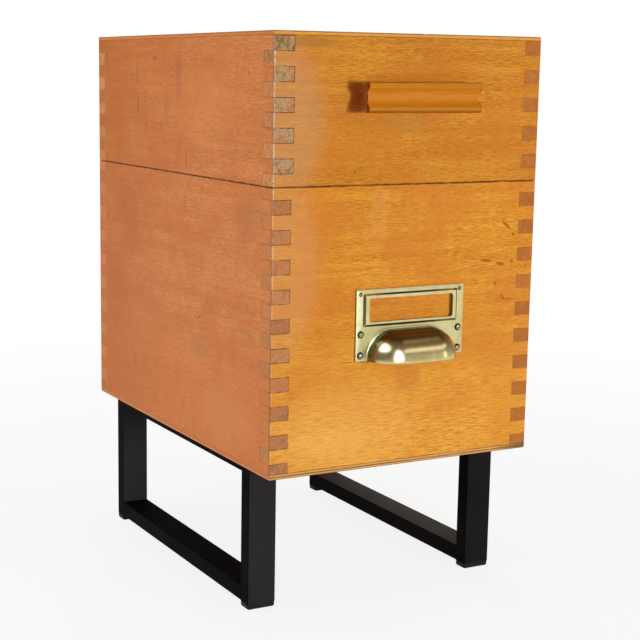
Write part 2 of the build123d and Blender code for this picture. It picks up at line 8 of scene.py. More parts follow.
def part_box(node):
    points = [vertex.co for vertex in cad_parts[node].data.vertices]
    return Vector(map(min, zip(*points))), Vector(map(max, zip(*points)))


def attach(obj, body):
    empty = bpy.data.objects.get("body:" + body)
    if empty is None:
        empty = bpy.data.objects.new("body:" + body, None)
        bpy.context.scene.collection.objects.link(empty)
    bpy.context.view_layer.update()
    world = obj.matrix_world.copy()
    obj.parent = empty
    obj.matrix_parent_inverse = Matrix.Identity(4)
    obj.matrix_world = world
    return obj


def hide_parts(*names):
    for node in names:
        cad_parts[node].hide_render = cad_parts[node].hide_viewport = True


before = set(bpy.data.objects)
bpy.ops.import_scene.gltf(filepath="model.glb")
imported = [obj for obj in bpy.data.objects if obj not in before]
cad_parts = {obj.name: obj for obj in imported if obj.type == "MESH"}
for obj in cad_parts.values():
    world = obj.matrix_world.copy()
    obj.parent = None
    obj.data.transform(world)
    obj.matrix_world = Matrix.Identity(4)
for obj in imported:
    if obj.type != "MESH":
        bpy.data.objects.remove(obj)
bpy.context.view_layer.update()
print("frame loaded,", len(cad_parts), "nodes")

mm = 0.001

# camera: placed and turned as the photograph was taken
view = {
    "place": (-0.66576, -1.19780, 0.45454),
    "azimuth": 27.793,
    "tilt": 9.79,
    "roll": 0.708,
    "lens": 81.91,
    "sensor": 36,
    "shiftX": 0.0760,
    "shiftY": 0.0053,
}


def addCamera():
    azimuth, tilt, roll = (math.radians(view[k]) for k in ("azimuth", "tilt", "roll"))
    ahead = Vector((math.sin(azimuth) * math.cos(tilt), math.cos(azimuth) * math.cos(tilt), -math.sin(tilt)))
    right = Vector((math.cos(azimuth), -math.sin(azimuth), 0))
    up = right.cross(ahead)
    rightRolled = right * math.cos(roll) + up * math.sin(roll)
    upRolled = up * math.cos(roll) - right * math.sin(roll)
    turn = Matrix((rightRolled, upRolled, -ahead)).transposed()
    bpy.ops.object.camera_add(location=view["place"], rotation=turn.to_euler())
    camera = bpy.context.object
    camera.data.lens = view["lens"]
    camera.data.sensor_width = view["sensor"]
    camera.data.shift_x = view["shiftX"]
    camera.data.shift_y = view["shiftY"]
    bpy.context.scene.camera = camera


addCamera()
print("camera in place")

# places read from the frame, in metres
boxFrontLow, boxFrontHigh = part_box("box_front")
lidFrontLow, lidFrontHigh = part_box("lid_front")
plateLow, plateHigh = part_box("card_frame_plate")
cupLow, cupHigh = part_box("cup_pull")
handleLow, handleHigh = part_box("lid_handle")
frontY = boxFrontLow.y
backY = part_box("box_back")[1].y
middleY = (frontY + backY) / 2

# the sizes that the recipes use, in millimetres; the fingers lie a pitch apart below the two tops
pitchMm = 12
firstFingerMm = 9.8
sheetMm = 1.0
lidFingerTop = lidFrontHigh.z / mm
boxFingerTop = boxFrontHigh.z / mm - firstFingerMm
lidRimMm = lidFrontLow.z / mm
boxRimMm = boxFrontHigh.z / mm
boxFloorMm = boxFrontLow.z / mm
halfWidthMm = boxFrontHigh.x / mm
halfDepthMm = (backY - frontY) / 2 / mm
middleYMm = middleY / mm
boardMm = (boxFrontHigh.y - boxFrontLow.y) / mm
lidLeftMm = (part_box("lid_left_side")[1].x + boxFrontHigh.x) / mm
plateFaceMm = frontY / mm - sheetMm


class Wire:  # a node's output that takes part in sums

    def __init__(self, recipe, socket):
        self.recipe = recipe
        self.socket = socket

    def maths(self, operation, *others):
        ins = dict(enumerate((self,) + others))
        return self.recipe.node("ShaderNodeMath", {"operation": operation}, ins)

    def turned(self, operation, first):
        return self.recipe.node("ShaderNodeMath", {"operation": operation}, {0: first, 1: self})

    def output(self, name):
        return Wire(self.recipe, self.socket.node.outputs[name])

    def __add__(self, other):
        return self.maths("ADD", other)

    def __radd__(self, other):
        return self.turned("ADD", other)

    def __sub__(self, other):
        return self.maths("SUBTRACT", other)

    def __rsub__(self, other):
        return self.turned("SUBTRACT", other)

    def __mul__(self, other):
        return self.maths("MULTIPLY", other)

    def __rmul__(self, other):
        return self.turned("MULTIPLY", other)

    def __truediv__(self, other):
        return self.maths("DIVIDE", other)

    def __rtruediv__(self, other):
        return self.turned("DIVIDE", other)

    def __gt__(self, other):
        return self.maths("GREATER_THAN", other)

    def __lt__(self, other):
        return self.maths("LESS_THAN", other)

    def __abs__(self):
        return self.maths("ABSOLUTE")

    def least(self, other):
        return self.maths("MINIMUM", other)

    def most(self, other):
        return self.maths("MAXIMUM", other)

    def ramp(self, low, high):  # 0 at low, 1 at high, smooth between
        ins = {"Value": self, "From Min": low, "From Max": high}
        return self.recipe.node("ShaderNodeMapRange", {"interpolation_type": "SMOOTHSTEP"}, ins)


class Recipe:  # the nodes of one material, or of the world, and the few ways to build them

    def __init__(self, name, owner=None):
        self.owner = owner or bpy.data.materials.new(name)
        self.owner.use_nodes = True
        self.tree = self.owner.node_tree
        self.tree.nodes.clear()
        self.place = self.node("ShaderNodeTexCoord", give="Object")
        self.facing = self.place.output("Normal")

    def node(self, kind, settings=None, inputs=None, give=0):
        made = self.tree.nodes.new(kind)
        for key, value in (settings or {}).items():
            setattr(made, key, value)
        for key, value in (inputs or {}).items():
            if isinstance(value, Wire):
                self.tree.links.new(value.socket, made.inputs[key])
            else:
                made.inputs[key].default_value = value
        return Wire(self, made.outputs[give]) if made.outputs else made

    def split(self, vector):
        first = self.node("ShaderNodeSeparateXYZ", None, {0: vector})
        return first, first.output("Y"), first.output("Z")

    def join(self, x, y, z):
        return self.node("ShaderNodeCombineXYZ", None, {0: x, 1: y, 2: z})

    def noise(self, vector, scale=1.0, detail=2.0, rough=0.5):
        ins = {"Vector": vector, "Scale": scale, "Detail": detail, "Roughness": rough}
        return self.node("ShaderNodeTexNoise", None, ins)

    def chance(self, number):  # one random value for each whole number
        return self.node("ShaderNodeTexWhiteNoise", {"noise_dimensions": "1D"}, {"W": number})

    def mix(self, share, first, second):
        ins = {0: share, 6: asColour(first), 7: asColour(second)}
        return self.node("ShaderNodeMix", {"data_type": "RGBA"}, ins, 2)

    def bump(self, height, distance):
        return self.node("ShaderNodeBump", None, {"Height": height, "Distance": distance})

    def finish(self, colour, roughness, normal=None, metallic=0.0, shine=None):
        ins = {"Base Color": asColour(colour), "Roughness": roughness, "Metallic": metallic}
        if shine is not None:
            ins["Specular IOR Level"] = shine
        if normal is not None:
            ins["Normal"] = normal
        shader = self.node("ShaderNodeBsdfPrincipled", None, ins)
        self.node("ShaderNodeOutputMaterial", None, {"Surface": shader})
        return self.owner


def asColour(value):  # sRGB 0-255 to the linear colour that a socket takes
    if isinstance(value, Wire):
        return value
    linear = [c / 255 / 12.92 if c < 10.3 else ((c / 255 + 0.055) / 1.055) ** 2.4 for c in value]
    return (*linear, 1.0)


print("recipes ready")

spotRim = (0.3, 1.6)  # the soft edge of a spot, as shares of its size squared


def spot(across, up, at, size, lean=0.0):  # a soft oval, 1 inside and 0 outside
    turn = math.radians(lean)
    right = across - at[0]
    high = up - at[1]
    u = (right * math.cos(turn) + high * math.sin(turn)) / size[0]
    v = (high * math.cos(turn) - right * math.sin(turn)) / size[1]
    return 1 - (u * u + v * v).ramp(*spotRim)


# boards: one recipe for all, with a dictionary of tones for each
boardTones = {
    "front": {
        "light": (231, 163, 57), "pale": (246, 184, 84), "dark": (187, 109, 25), "red": (206, 122, 43),
        "fleck": (156, 80, 20), "low": (232, 162, 58), "smudge": (190, 112, 40),
        "lowShare": 0.7, "redShare": 0.65, "fleckShare": 0.5, "smudgeShare": 0.2, "lineShare": 0.75,
    },
    "lidFront": {
        "light": (221, 154, 54), "pale": (246, 184, 84), "dark": (176, 100, 20), "red": (197, 117, 38),
        "fleck": (142, 74, 22), "low": (214, 142, 52), "smudge": (172, 112, 48),
        "lowShare": 0.0, "redShare": 0.6, "fleckShare": 0.5, "smudgeShare": 0.3, "lineShare": 0.0,
    },
    "side": {
        "light": (215, 136, 77), "pale": (222, 146, 94), "dark": (186, 107, 52), "red": (190, 106, 56),
        "fleck": (156, 84, 44), "low": (198, 108, 34), "smudge": (170, 94, 44), "far": (166, 84, 14),
        "lowShare": 0.6, "redShare": 0.55, "fleckShare": 0.35, "smudgeShare": 0.32, "lineShare": 0.4,
    },
    "rightSide": {
        "light": (220, 144, 62), "pale": (228, 156, 76), "dark": (186, 109, 36), "red": (198, 114, 44),
        "fleck": (156, 84, 34), "low": (216, 134, 44), "smudge": (176, 100, 34), "far": (178, 98, 28),
        "lowShare": 0.5, "redShare": 0.55, "fleckShare": 0.35, "smudgeShare": 0.3, "lineShare": 0.4,
    },
    "inside": {"light": (222, 184, 132), "dark": (196, 150, 98)},
    "jointLine": (84, 42, 14),
    # the next tone is the near arris's pale line, partly wear and partly painted highlight
    "wearAndHighlightEdge": (250, 232, 204),
    # the next tone is painted shade along the join of lid and box
    "gapShadeTone": (96, 52, 20),
    "scratch": (140, 72, 24),
    "farEdge": (120, 92, 48),
}
# worn in each sets how strong the pale line on the near arris is, partly wear and partly painted highlight
endTones = {
    "lidLeft": {
        "light": (216, 176, 130), "dark": (128, 88, 52), "grey": (104, 92, 56), "stripe": (192, 112, 56),
        "speckle": 1.0, "greyLevels": (lidFingerTop - 4,), "line": 0.95, "worn": 0.3, "ring": 0.8,
    },
    "boxLeft": {
        "light": (202, 138, 94), "dark": (160, 100, 62), "grey": (146, 108, 62), "stripe": (192, 114, 58),
        "speckle": 0.6, "greyLevels": (boxFloorMm + 6,), "line": 0.9, "worn": 0.15, "ring": 3.0,
    },
    "right": {
        "light": (190, 118, 54), "dark": (164, 94, 38), "grey": (150, 92, 42), "stripe": (182, 114, 58),
        "speckle": 0.35, "greyLevels": (), "line": 0.4, "worn": 0.1, "ring": 3.0,
    },
    "lidEnds": {
        "light": (212, 150, 98), "dark": (186, 112, 62), "grey": (140, 108, 66), "stripe": (200, 124, 70),
        "speckle": 0.6, "greyLevels": (lidFingerTop - 16,), "line": 0.7, "worn": 1.0, "ring": 7.0,
    },
    "boxEnds": {
        "light": (206, 130, 76), "dark": (190, 110, 60), "grey": (160, 122, 78), "stripe": (198, 118, 64),
        "speckle": 0.6, "greyLevels": (290, 238, 216, 150), "line": 0.5, "worn": 0.75, "ring": 7.0,
    },
}
boardGrain = {  # the parts of the pattern, each long and wide in millimetres
    "bands": {"long": 120, "wide": 7, "detail": 3, "rough": 0.55, "shift": 1},
    "streaks": {"long": 9, "wide": 0.75, "detail": 2, "rough": 0.65, "shift": 1},
    "flecks": {"long": 4, "wide": 0.45, "detail": 1, "rough": 0.5, "shift": 1},
    "lines": {"long": 13, "wide": 0.9, "detail": 2, "rough": 0.6, "shift": 3},
}
boardWearAndPaintedLight = {  # where age shows, and where light and shade are painted, in millimetres
    "swayBy": 4,
    "low": (150, 262),
    "far": (-60, 200),
    "grey": (5, 9),
    "fingerSlack": 0.3,
    "away": 50,
    "glueLine": (0.15, 0.75),
    "wearAndHighlightLine": (0.9, 1.6),
    "wearAndHighlightHeights": (225, 300),
    "arris": (0.5, 1.2),
    "farLine": (0.3, 1.0),
    "gapShade": (0.2, 1.3),
    "rawAcross": (2, 3.5),
    "rawDeep": (2, 4),
}


def makeBoard(name, grain, tones, ends, seed, look, marks):
    r = Recipe(name)
    x, y, z = (part / mm for part in r.split(r.place))
    y = y - middleYMm
    along, deep = (x, y) if grain == "x" else (y, x)
    sway = r.noise(r.join(along / 80 + seed, z / 60, deep / 40), 1, 2) - 0.5
    across = z + sway * boardWearAndPaintedLight["swayBy"]

    def pattern(key):  # noise drawn out along the board
        part = boardGrain[key]
        far = along / part["long"] + seed * part["shift"]
        vector = r.join(far, across / part["wide"], deep / part["wide"])
        return r.noise(vector, 1, part["detail"], part["rough"])

    bands = pattern("bands")
    streaks = pattern("streaks")
    flecks = pattern("flecks").ramp(0.54, 0.76)
    lines = pattern("lines").ramp(0.42, 0.66)
    patches = r.noise(r.join(x / 60 + seed, y / 60, z / 42), 1, 3, 0.55)
    smudges = r.noise(r.join(x / 26, y / 26, z / 40 + seed), 1, 2, 0.6).ramp(0.54, 0.76)
    figure = bands.ramp(0.32, 0.68) * 0.35 + streaks.ramp(0.37, 0.63) * 0.65
    colour = r.mix(figure, tones["dark"], tones["light"])
    colour = r.mix(patches.ramp(0.40, 0.66) * tones["redShare"], colour, tones["red"])
    # lower down the figure fades into the low tone: on the box front this is painted light, brighter towards
    # the bottom; on the sides the low tone is darker and redder
    lowDown = 1 - z.ramp(*boardWearAndPaintedLight["low"])
    colour = r.mix(lowDown * (1 - patches.ramp(0.45, 0.7) * 0.6) * tones["lowShare"], colour, tones["low"])
    colour = r.mix(lines * lowDown * tones["lineShare"], colour, tones["dark"])
    colour = r.mix((1 - lines) * lowDown * tones["lineShare"] * 0.4, colour, tones["pale"])
    colour = r.mix(smudges * tones["smudgeShare"], colour, tones["smudge"])
    if grain == "y":  # the sides darken towards the back
        colour = r.mix(y.ramp(*boardWearAndPaintedLight["far"]) * 0.48, colour, tones["far"])
    colour = r.mix(flecks * tones["fleckShare"], colour, tones["fleck"])

    # end grain shows where the board's fingers come out at the corner
    nearCorner = (x < 0) * (y < 0)
    faces = r.split(r.facing)
    ending = abs(faces[0 if grain == "x" else 1]).ramp(0.55, 0.85)
    finger = ((z - look["fingerTop"]) / pitchMm).maths("FLOOR")
    tone = r.chance(finger + (x > 0) * 31 + (y > 0) * 57 + seed)
    pores = r.noise(r.join(x / 0.7, y / 0.7, z / ends["ring"] + seed), 1, 2, 0.7)
    speckle = pores.ramp(0.36, 0.64) * ends["speckle"] + tone * (1 - ends["speckle"])
    endColour = r.mix(speckle, ends["dark"], ends["light"])
    slant = r.noise(r.join((x - z) / 9, (y - z) / 9, finger * 7 + seed), 1, 1).ramp(0.56, 0.62)
    endColour = r.mix(slant * 0.6, endColour, ends["stripe"])
    greyness = r.noise(r.join(x / 4 + seed, y / 4, z / 5), 1, 1, 0.4)
    for level in ends["greyLevels"]:
        greyness = greyness + (1 - abs(z - level).ramp(*boardWearAndPaintedLight["grey"])) * nearCorner * 0.2
    endColour = r.mix(greyness.ramp(0.50, 0.82) * (0.5 + pores * 0.6), endColour, ends["grey"])
    if grain == "y":
        endColour = r.mix((y > 0) * 0.6, endColour, tones["red"])
    colour = r.mix(ending, colour, endColour)

    # thin dark glue lines round the fingers
    onFront = abs(faces[1])
    sideways = abs(x) * onFront + abs(y) * (1 - onFront)
    half = halfWidthMm * onFront + halfDepthMm * (1 - onFront)
    fingerLength = boardMm + (x < 0) * onFront * (look["leftFinger"] - boardMm)
    inward = half - sideways
    sideRow = finger.maths("FLOORED_MODULO", 2)  # 1 where the side board's finger comes through
    shoulderHere = sideRow * onFront + (1 - sideRow) * (1 - onFront)
    toShoulder = abs(inward - fingerLength) + (1 - shoulderHere) * boardWearAndPaintedLight["away"]
    toLevel = (0.5 - abs(((z - look["fingerTop"]) / pitchMm).maths("FRACT") - 0.5)) * pitchMm
    inFinger = inward < fingerLength + boardWearAndPaintedLight["fingerSlack"]
    toJoint = toShoulder.least(toLevel + (1 - inFinger) * boardWearAndPaintedLight["away"])
    lineNoise = r.noise(r.join(x / 6, y / 6, z / 6 + seed), 1, 2)
    lineShare = (0.3 + nearCorner * 0.7) * ends["line"] * (0.5 + onFront * 0.5)
    joint = (1 - toJoint.ramp(*boardWearAndPaintedLight["glueLine"])) * lineNoise.ramp(0.34, 0.56) * lineShare
    colour = r.mix(joint, colour, boardTones["jointLine"])

    # the near arris is pale on the front, partly wear and partly painted highlight, and grubby on the side;
    # the far arris is grubby; along the rim the wood is darkened with painted shade of the gap between lid
    # and box
    chips = r.noise(r.join(x / 1.4, y / 1.4, z / 2.6 + seed), 1, 3, 0.6)
    wearAndHighlightLine = (1 - inward.ramp(*boardWearAndPaintedLight["wearAndHighlightLine"])) * onFront * nearCorner * chips.ramp(0.38, 0.52)
    wearAndHighlightLine = wearAndHighlightLine * (0.3 + z.ramp(*boardWearAndPaintedLight["wearAndHighlightHeights"]) * 0.7)
    colour = r.mix(wearAndHighlightLine * ends["worn"], colour, boardTones["wearAndHighlightEdge"])
    arris = 1 - inward.ramp(*boardWearAndPaintedLight["arris"])
    grubbyLine = arris * (1 - onFront) * nearCorner * chips.ramp(0.30, 0.46)
    colour = r.mix(grubbyLine * 0.7, colour, boardTones["jointLine"])
    farLine = (1 - inward.ramp(*boardWearAndPaintedLight["farLine"])) * onFront * (x > 0) * chips.ramp(0.36, 0.6)
    colour = r.mix(farLine * 0.7, colour, boardTones["farEdge"])
    # painted shade: a dark band on either side of the join between lid and box
    gapShade = (1 - abs(z - look["rimLevel"]).ramp(*boardWearAndPaintedLight["gapShade"])) * lineNoise.ramp(0.25, 0.6)
    colour = r.mix(gapShade * 0.8, colour, boardTones["gapShadeTone"])
    outside = onFront * (y < 0) if grain == "x" else (1 - onFront) * (x < 0)
    for mark in marks:
        blot = spot(along, z, mark["at"], mark["size"], mark.get("lean", 0)) * outside
        colour = r.mix(blot * mark["depth"], colour, mark.get("tone", boardTones["scratch"]))

    # raw wood inside
    deepIn = (halfDepthMm - abs(y)).least(halfWidthMm - abs(x))
    inside = inward.ramp(*boardWearAndPaintedLight["rawAcross"]) * deepIn.ramp(*boardWearAndPaintedLight["rawDeep"])
    rawTones = boardTones["inside"]
    raw = r.mix(bands.ramp(0.3, 0.7) * 0.5 + streaks * 0.5, rawTones["dark"], rawTones["light"])
    colour = r.mix(inside, colour, raw)

    height = streaks * 0.5 + flecks * -0.6 + joint * -2.5 + arris * chips * -1.0
    rough = 0.42 + patches * 0.10 + flecks * 0.1 + inside * 0.25 + ending * 0.08
    return r.finish(colour, rough, r.bump(height, 0.12 * mm), shine=0.14)


frontMarks = [
    # painted sheen: paler near the left edge
    {"at": (-120.0, 300.0), "size": (34.0, 74.0), "depth": 0.42, "tone": (212, 150, 96)},
    {"at": (-29.4, 340.0), "size": (9.0, 26.0), "depth": 0.2, "tone": (226, 156, 92)},
    # a darker patch under the cup: partly stain, partly painted shadow of the cup
    {"at": (2.0, 202.0), "size": (13.0, 14.0), "lean": 20, "depth": 0.45, "tone": (196, 118, 48)},
    # painted light: paler low on the left
    {"at": (-60.0, 158.0), "size": (70.0, 40.0), "depth": 0.3, "tone": (240, 178, 92)},
    {"at": (-70.0, 150.0), "size": (34.0, 12.0), "depth": 0.4, "tone": (238, 176, 84)},
    {"at": (112.0, 158.0), "size": (30.0, 44.0), "depth": 0.3, "tone": (208, 132, 38)},
    {"at": (47.0, 172.0), "size": (30.0, 6.0), "lean": 6, "depth": 0.4, "tone": (206, 128, 44)},
    # painted shade: a dark line on the wood behind the card slot
    {"at": (3.0, 274.1), "size": (38.0, 1.5), "depth": 0.95, "tone": (44, 28, 12)},
    {"at": (100.0, 326.5), "size": (5.5, 1.3), "lean": -38, "depth": 0.8},
    {"at": (107.5, 318.5), "size": (2.0, 1.4), "lean": -30, "depth": 0.7},
    {"at": (80.5, 296.6), "size": (6.0, 1.1), "lean": -8, "depth": 0.8},
    {"at": (95.0, 293.0), "size": (4.6, 1.6), "lean": -12, "depth": 0.75},
    {"at": (107.0, 294.5), "size": (1.8, 1.6), "depth": 0.7},
    {"at": (90.1, 276.3), "size": (1.7, 1.5), "depth": 0.8},
    {"at": (98.5, 263.5), "size": (3.0, 1.4), "lean": -60, "depth": 0.75},
    {"at": (104.7, 261.5), "size": (5.0, 1.2), "depth": 0.6},
    {"at": (98.0, 268.0), "size": (16.0, 30.0), "depth": 0.25, "tone": (200, 112, 42)},
    {"at": (127.0, 128.0), "size": (9.0, 12.0), "lean": -30, "depth": 0.8, "tone": (96, 80, 46)},
    {"at": (-57.0, 218.0), "size": (9.0, 0.5), "depth": 0.55},
]
lidMarks = [
    {"at": (-54.0, 375.4), "size": (1.4, 1.3), "depth": 0.6},
    # painted shade: a darker, greener patch below the handle
    {"at": (-6.0, 414.0), "size": (26.0, 7.0), "depth": 0.45, "tone": (176, 128, 52)},
    # painted shadow: the handle's cast shadow on the lid front, made darker and redder
    {"at": (-54.6, 443.0), "size": (6.2, 4.6), "depth": 0.6, "tone": (160, 58, 2)},
    {"at": (-54.6, 435.5), "size": (6.0, 5.0), "depth": 0.6, "tone": (160, 58, 2)},
    {"at": (-54.6, 428.0), "size": (6.2, 4.6), "depth": 0.6, "tone": (160, 58, 2)},
    {"at": (-104.0, 478.0), "size": (34.0, 4.0), "depth": 0.5, "tone": (150, 112, 50)},
    # painted sheen: paler near the left edge
    {"at": (-122.0, 415.0), "size": (38.0, 66.0), "depth": 0.5, "tone": (200, 146, 98)},
    {"at": (40.0, 479.5), "size": (90.0, 2.6), "depth": 0.3, "tone": (168, 98, 34)},
]
lidSideMarks = [
    {"at": (-7.5, 450.0), "size": (7.0, 22.0), "depth": 0.42, "tone": (162, 92, 54)},
    {"at": (20.4, 422.0), "size": (7.0, 14.0), "depth": 0.3, "tone": (162, 92, 54)},
    {"at": (86.0, 424.0), "size": (2.4, 10.0), "depth": 0.5, "tone": (142, 78, 42)},
    {"at": (88.0, 450.0), "size": (3.0, 9.0), "depth": 0.35, "tone": (150, 84, 46)},
    {"at": (-24.0, 378.0), "size": (1.0, 8.0), "depth": 0.55, "tone": (118, 64, 32)},
    {"at": (-77.0, 397.0), "size": (1.0, 3.6), "lean": 20, "depth": 0.6, "tone": (110, 76, 38)},
    {"at": (-73.0, 400.0), "size": (0.8, 3.0), "lean": 10, "depth": 0.5, "tone": (110, 76, 38)},
    {"at": (46.0, 385.0), "size": (2.2, 1.8), "depth": 0.5, "tone": (142, 78, 42)},
    {"at": (46.0, 466.0), "size": (6.0, 1.6), "depth": 0.4, "tone": (142, 78, 42)},
    {"at": (-146.0, 454.0), "size": (1.2, 1.2), "depth": 0.7, "tone": (118, 64, 32)},
    {"at": (-60.0, 425.0), "size": (60.0, 34.0), "depth": 0.22, "tone": (222, 146, 82)},
]
boxSideMarks = [
    {"at": (112.0, 322.0), "size": (26.0, 24.0), "depth": 0.4, "tone": (166, 90, 48)},
    {"at": (-54.0, 240.5), "size": (4.2, 1.0), "lean": -32, "depth": 0.6, "tone": (128, 74, 34)},
    {"at": (-49.0, 238.0), "size": (2.0, 1.0), "depth": 0.4, "tone": (128, 74, 34)},
    {"at": (-52.0, 212.0), "size": (20.0, 11.0), "depth": 0.35, "tone": (172, 112, 62)},
    {"at": (-146.0, 240.0), "size": (16.0, 3.0), "lean": 10, "depth": 0.45, "tone": (160, 114, 64)},
    {"at": (-150.0, 336.0), "size": (24.0, 18.0), "depth": 0.35, "tone": (166, 102, 60)},
    {"at": (96.0, 175.0), "size": (5.0, 7.0), "depth": 0.3, "tone": (150, 84, 44)},
    {"at": (-110.0, 160.0), "size": (50.0, 30.0), "depth": 0.25, "tone": (216, 140, 84)},
]

lidLook = {"fingerTop": lidFingerTop, "rimLevel": lidRimMm, "leftFinger": lidLeftMm}
boxLook = {"fingerTop": boxFingerTop, "rimLevel": boxRimMm, "leftFinger": boardMm}


def dress(node, stuff):
    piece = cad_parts[node]
    piece.data.materials.clear()
    piece.data.materials.append(stuff)


def board(node, grain, tones, ends, seed, marks=()):
    look = lidLook if node.startswith("lid") else boxLook
    dress(node, makeBoard("wood_" + node, grain, boardTones[tones], endTones[ends], seed, look, marks))


board("lid_front", "x", "lidFront", "lidEnds", 3, lidMarks)
board("lid_back", "x", "lidFront", "lidEnds", 17)
board("lid_left_side", "y", "side", "lidLeft", 5, lidSideMarks)
board("lid_right_side", "y", "rightSide", "right", 29)
board("box_front", "x", "front", "boxEnds", 11, frontMarks)
board("box_back", "x", "front", "boxEnds", 37)
board("box_left_side", "y", "side", "boxLeft", 13, boxSideMarks)
board("box_right_side", "y", "rightSide", "right", 41)
print("boards varnished")

# plywood: thin panels that show their plies at the edge
plyTones = {
    "light": (230, 168, 84),
    "dark": (202, 134, 60),
    "ply": (150, 84, 34),
    "grubby": (92, 72, 40),
    "top": {
        "front": (222, 156, 72), "side": (206, 128, 76), "corner": 0.0,
        "lines": (
            {"at": 0.08, "depth": 0.9, "side": 0.8, "wide": 0.2, "tone": (140, 92, 30)},
            {"at": 1.0, "depth": 0.95, "side": 0.9, "wide": 0.34, "tone": (92, 54, 20)},
        ),
    },
    "bottom": {
        "front": (196, 136, 66), "side": (196, 114, 62), "corner": 0.75,
        "lines": (
            {"at": 1.0, "depth": 0.85, "side": 0.15, "wide": 0.2, "tone": (96, 56, 22)},
            {"at": 0.74, "depth": 0.7, "side": 0.1, "wide": 0.2, "tone": (226, 180, 118)},
            {"at": 0.5, "depth": 0.8, "side": 0.2, "wide": 0.2, "tone": (128, 82, 34)},
            {"at": 0.26, "depth": 0.7, "side": 0.8, "wide": 0.2, "tone": (214, 168, 116)},
            {"at": 0.0, "depth": 0.95, "side": 0.95, "wide": 0.2, "tone": (70, 40, 18)},
        ),
    },
}
plyWear = {  # in millimetres
    "swayBy": 14,
    "rim": (0.5, 4),
    "corner": (92, 126),
}


def makePly(name, seed, low, high, edge):
    r = Recipe(name)
    x, y, z = (part / mm for part in r.split(r.place))
    sway = r.noise(r.join(x / 30 + seed, y / 110, z / 30), 1, 2) - 0.5
    across = x + sway * plyWear["swayBy"]
    bands = r.noise(r.join(across / 7 + seed, y / 170, z / 4), 1, 3, 0.55)
    streaks = r.noise(r.join(across / 1.1 + seed, y / 12, z / 0.9), 1, 3, 0.6)
    colour = r.mix(bands.ramp(0.3, 0.7) * 0.5 + streaks * 0.5, plyTones["dark"], plyTones["light"])
    rim = (halfWidthMm - abs(x)).least(halfDepthMm - abs(y - middleYMm))
    worn = r.noise(r.join(x / 14, y / 14, z / 3 + seed), 1, 3)
    colour = r.mix((1 - rim.ramp(*plyWear["rim"])) * worn.ramp(0.45, 0.7) * 0.6, colour, plyTones["ply"])

    # the edge: long streaks, thin lines between the plies and grime at the right front corner
    faces = r.split(r.facing)
    upright = 1 - abs(faces[2]).ramp(0.5, 0.9)
    edgeStreak = r.noise(r.join(x / 9 + seed, y / 9, z / 0.8), 1, 3)
    ahead = abs(faces[1]).ramp(0.4, 0.6)
    edgeColour = r.mix(ahead, edge["side"], edge["front"])
    edgeColour = r.mix(edgeStreak.ramp(0.4, 0.7) * 0.3, edgeColour, plyTones["ply"])
    level = (z - low / mm) / ((high - low) / mm)
    for line in edge["lines"]:
        share = (1 - abs(level - line["at"]).ramp(0.04, line["wide"])) * worn.ramp(0.2, 0.5)
        share = share * (line["side"] + ahead * (1 - line["side"])) * line["depth"]
        edgeColour = r.mix(share, edgeColour, line["tone"])
    cornerShare = x.ramp(*plyWear["corner"]) * ahead * (y < middleYMm) * edge["corner"]
    edgeColour = r.mix(cornerShare, edgeColour, plyTones["grubby"])
    colour = r.mix(upright, colour, edgeColour)
    return r.finish(colour, 0.45 + worn * 0.1, r.bump(streaks + edgeStreak, 0.1 * mm), shine=0.05)


topLow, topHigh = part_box("lid_top_panel")
bottomLow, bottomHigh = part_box("box_bottom_panel")
dress("lid_top_panel", makePly("plywood_top", 2, topLow.z, topHigh.z, plyTones["top"]))
dress("box_bottom_panel", makePly("plywood_bottom", 8, bottomLow.z, bottomHigh.z, plyTones["bottom"]))
print("plywood varnished")

# handle: darker varnish on the same wood
handleTones = {
    "light": (208, 130, 32),
    "dark": (180, 102, 12),
    # the next four tones are painted light and shade of the cove and its lips
    "litMiddle": (206, 134, 62),
    "cove": (196, 114, 2),
    "crestHighlight": (168, 114, 62),
    "lip": (130, 68, 4),
    "end": (174, 100, 58),
    "endEdge": (118, 50, 14),
}
handleBands = {  # in millimetres from the middle, the edges and the ends
    "swayBy": 1.5,
    "litMiddle": (0.5, 4.5),
    "coveAt": 6.3,
    "cove": (0.6, 2.8),
    "crestIn": 3.0,
    "crestHighlight": (0.2, 1.1),
    "under": (2.6, 1.4),
    "lip": (0.9, 0.3),
    "ends": (0.4, 1.3),
    "proud": (4.5, 8.5),
}


